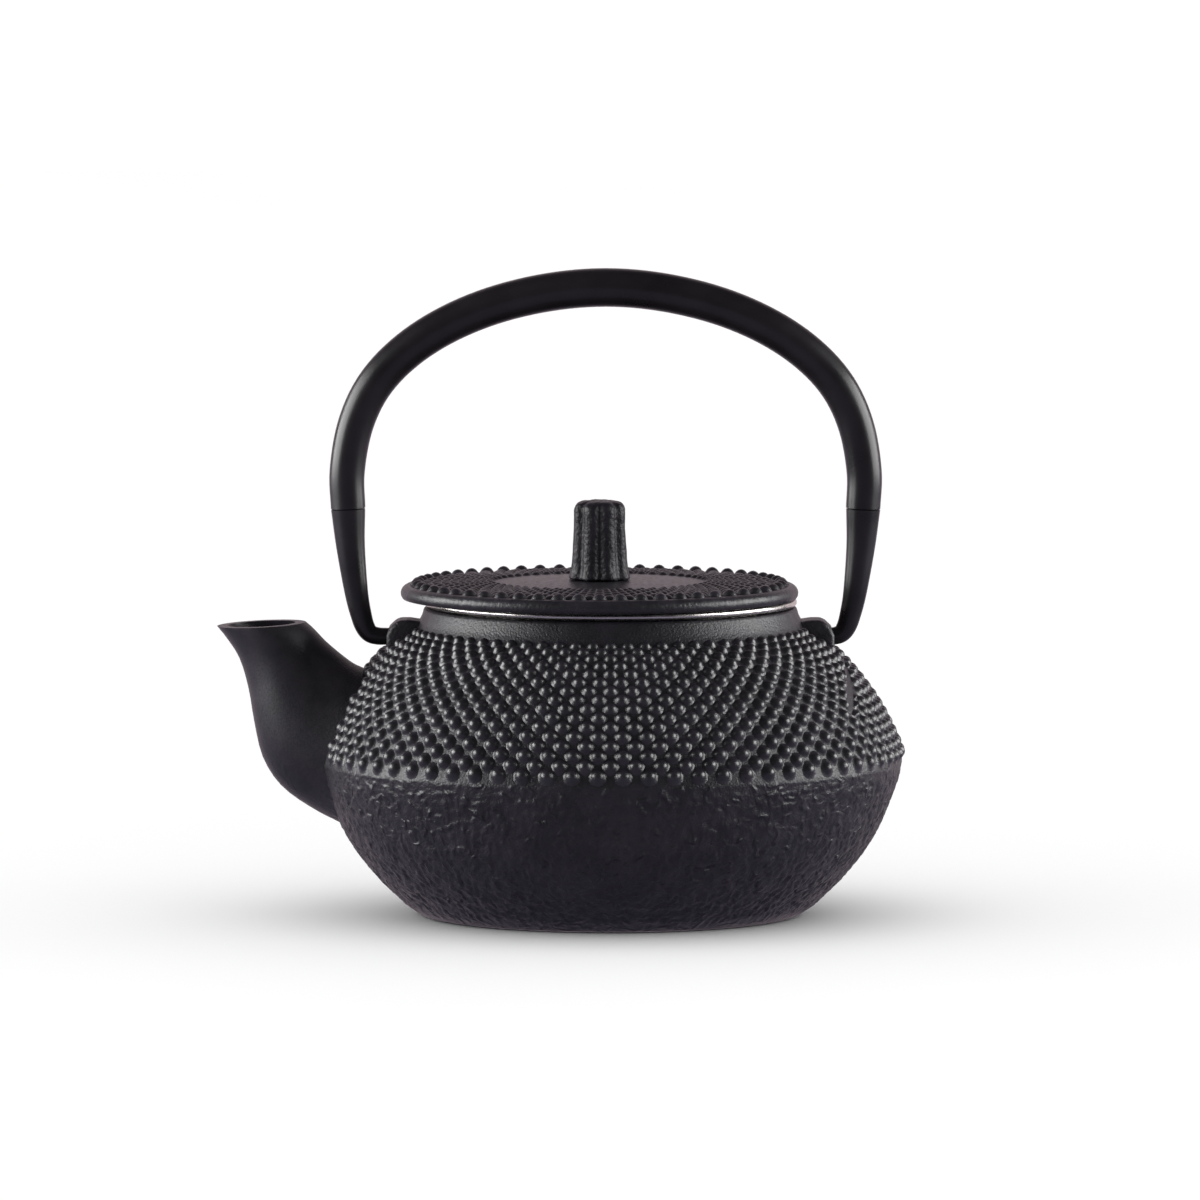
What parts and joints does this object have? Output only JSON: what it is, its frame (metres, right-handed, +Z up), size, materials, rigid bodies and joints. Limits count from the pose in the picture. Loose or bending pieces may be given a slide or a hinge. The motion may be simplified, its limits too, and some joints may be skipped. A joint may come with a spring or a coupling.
{
  "type": "cast iron teapot",
  "caption": "Small black cast iron teapot with a studded shoulder, short beaked spout, loose flat lid with a fluted knob, steel tea infuser and a swinging bail handle.",
  "frame": {"origin": "centre of the flat foot, on the surface that the pot stands on", "axes": "+Z up, the axis of the pot, neck and infuser; -X towards the spout; the bail handle stands in the XZ plane and swings about the X direction"},
  "size_m": [0.1451, 0.1236, 0.1369],
  "materials": {
    "pot_iron": "black enamelled casting, satin on the studs and the wrinkled bowl, glossy inside",
    "lid_iron": "black casting, satin, worn slightly paler on the grained centre",
    "rivet_iron": "peened iron under black paint",
    "handle_iron": "smooth black baked paint, semi-gloss",
    "infuser_steel": "stainless, lightly polished",
    "infuser_mesh": "fine woven stainless mesh"
  },
  "bodies": {
    "pot": {"pot_bowl": "pot_iron", "pot_shoulder": "pot_iron", "pot_spout": "pot_iron"},
    "infuser": {"infuser_rim": "infuser_steel", "infuser_wall": "infuser_mesh", "infuser_base_ring": "infuser_steel", "infuser_base_mesh": "infuser_mesh"},
    "lid": {"lid": "lid_iron", "lid_knob": "lid_iron", "knob_rivet": "rivet_iron"},
    "handle": {"handle_bow": "handle_iron", "handle_hook_left": "handle_iron", "handle_hook_right": "handle_iron"}
  },
  "joints": [
    {"name": "infuser_lift", "type": "slide", "parent": "pot", "child": "infuser", "axis": [0, 0, 1], "range_m": [0, 0.038]},
    {"name": "lid_lift", "type": "slide", "parent": "infuser", "child": "lid", "axis": [0, 0, 1], "range_m": [0, 0.038]},
    {"name": "handle_swing", "type": "hinge", "parent": "pot", "child": "handle", "pos_m": [0, 0, 0.0588], "axis": [1, 0, 0], "range_deg": [-112, 112]}
  ]
}
